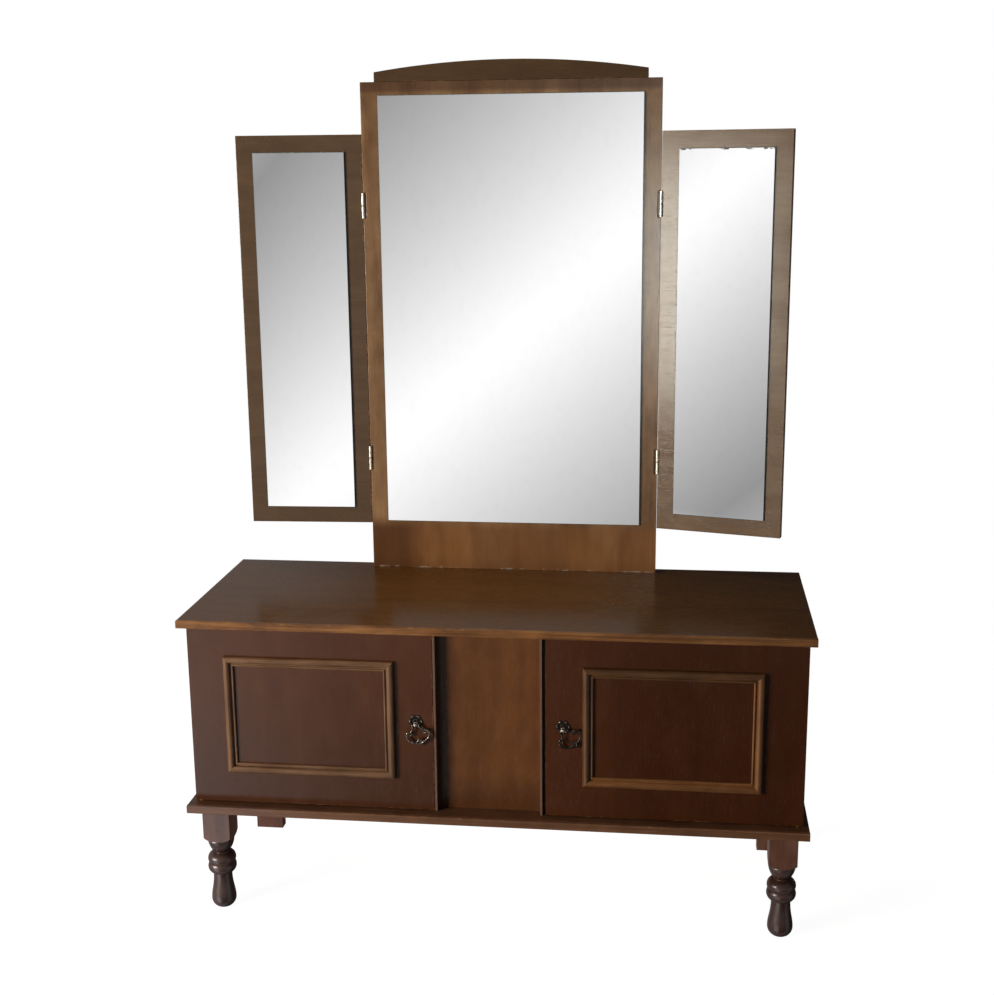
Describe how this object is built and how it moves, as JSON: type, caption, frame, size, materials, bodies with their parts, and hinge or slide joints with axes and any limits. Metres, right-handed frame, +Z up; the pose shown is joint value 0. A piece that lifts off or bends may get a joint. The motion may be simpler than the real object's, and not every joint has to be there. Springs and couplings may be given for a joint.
{
  "type": "triple mirror dressing table",
  "caption": "Low two-door dressing table on turned front legs, with a tall arched middle mirror and hinged mirror wings.",
  "frame": {"origin": "on the floor, under the middle of the table top's outline", "axes": "+Z up, +X to the right and +Y to the back, seen from the front of the table"},
  "size_m": [1.2, 0.445, 1.664],
  "materials": {
    "top_veneer": "dark brown stained veneer, satin varnish",
    "carcass_veneer": "dark brown stained veneer, satin varnish",
    "door_veneer": "dark reddish brown stained veneer, satin varnish",
    "panel_veneer": "warm mid-brown stained veneer, satin varnish",
    "frame_veneer": "mid-brown stained veneer, satin varnish",
    "wing_veneer": "brown stained veneer, satin varnish",
    "crest_wood": "dark brown stained wood, satin varnish",
    "edge_wood": "solid wood edge, worn and lighter than the boards",
    "moulding_wood": "profiled solid wood, satin varnish",
    "leg_wood": "dark stained turned wood, glossy varnish",
    "batten_wood": "plain softwood, unfinished",
    "dowel_wood": "plain beech dowel",
    "hardboard": "plain hardboard",
    "mirror_silver": "silvered float glass",
    "hinge_metal": "nickel-plated hinge, lightly worn",
    "antique_brass": "antique bronzed brass with rubbed highlights",
    "bush_brass": "plain turned brass",
    "screw_steel": "plain steel",
    "catch_plastic": "brown moulded catch"
  },
  "bodies": {
    "table": {"back_panel": "hardboard", "base_board": "carcass_veneer", "base_lipping": "edge_wood", "batten_screws": "screw_steel", "carcass_dowels": "dowel_wood", "centre_panel": "panel_veneer", "door_catch_left": "catch_plastic", "door_catch_right": "catch_plastic", "door_pivot_pins": "screw_steel", "edge_strip_left": "edge_wood", "edge_strip_right": "edge_wood", "front_leg_left": "leg_wood", "front_leg_right": "leg_wood", "mirror_batten_left": "batten_wood", "mirror_batten_right": "batten_wood", "mirror_board": "frame_veneer", "mirror_crest": "crest_wood", "mirror_dowels": "dowel_wood", "mirror_glass": "mirror_silver", "mirror_hinge_leaves_left": "hinge_metal", "mirror_hinge_leaves_right": "hinge_metal", "mirror_hinge_screws": "screw_steel", "partition_left": "carcass_veneer", "partition_right": "carcass_veneer", "rear_leg_left": "leg_wood", "rear_leg_right": "leg_wood", "side_panel_left": "carcass_veneer", "side_panel_right": "carcass_veneer", "top_board": "top_veneer", "top_lipping": "edge_wood", "wing_hinge_pins": "hinge_metal"},
    "wing_left": {"wing_board_left": "wing_veneer", "wing_glass_left": "mirror_silver", "wing_hinge_leaves_left": "hinge_metal", "wing_hinge_screws_left": "screw_steel"},
    "wing_right": {"wing_board_right": "wing_veneer", "wing_glass_right": "mirror_silver", "wing_hinge_leaves_right": "hinge_metal", "wing_hinge_screws_right": "screw_steel"},
    "door_left": {"door_panel_left": "door_veneer", "door_bushes_left": "bush_brass", "handle_rosette_left": "antique_brass", "handle_bolt_left": "screw_steel", "strike_plate_left": "screw_steel", "moulding_left_west": "moulding_wood", "moulding_left_north": "moulding_wood", "moulding_left_east": "moulding_wood", "moulding_left_south": "moulding_wood"},
    "drop_left": {"handle_drop_left": "antique_brass"},
    "door_right": {"door_panel_right": "door_veneer", "door_bushes_right": "bush_brass", "handle_rosette_right": "antique_brass", "handle_bolt_right": "screw_steel", "strike_plate_right": "screw_steel", "moulding_right_west": "moulding_wood", "moulding_right_north": "moulding_wood", "moulding_right_east": "moulding_wood", "moulding_right_south": "moulding_wood"},
    "drop_right": {"handle_drop_right": "antique_brass"}
  },
  "joints": [
    {"name": "wing_left_hinge", "type": "hinge", "parent": "table", "child": "wing_left", "pos_m": [-0.3012, 0.1902, 1.121], "axis": [0, 0, 1], "range_deg": [-2.4, 157.6]},
    {"name": "wing_right_hinge", "type": "hinge", "parent": "table", "child": "wing_right", "pos_m": [0.3012, 0.1902, 1.121], "axis": [0, 0, -1], "range_deg": [-14.6, 145.4]},
    {"name": "door_left_hinge", "type": "hinge", "parent": "table", "child": "door_left", "pos_m": [-0.58, -0.1855, 0.425], "axis": [0, 0, -1], "range_deg": [0, 95]},
    {"name": "door_right_hinge", "type": "hinge", "parent": "table", "child": "door_right", "pos_m": [0.58, -0.1855, 0.425], "axis": [0, 0, 1], "range_deg": [0, 95]},
    {"name": "drop_left_pivot", "type": "hinge", "parent": "door_left", "child": "drop_left", "pos_m": [-0.145, -0.2015, 0.421], "axis": [-0.9703, 0, -0.2419], "range_deg": [-5, 85]},
    {"name": "drop_right_pivot", "type": "hinge", "parent": "door_right", "child": "drop_right", "pos_m": [0.137, -0.2015, 0.421], "axis": [-0.7771, 0, -0.6293], "range_deg": [-5, 85]}
  ]
}
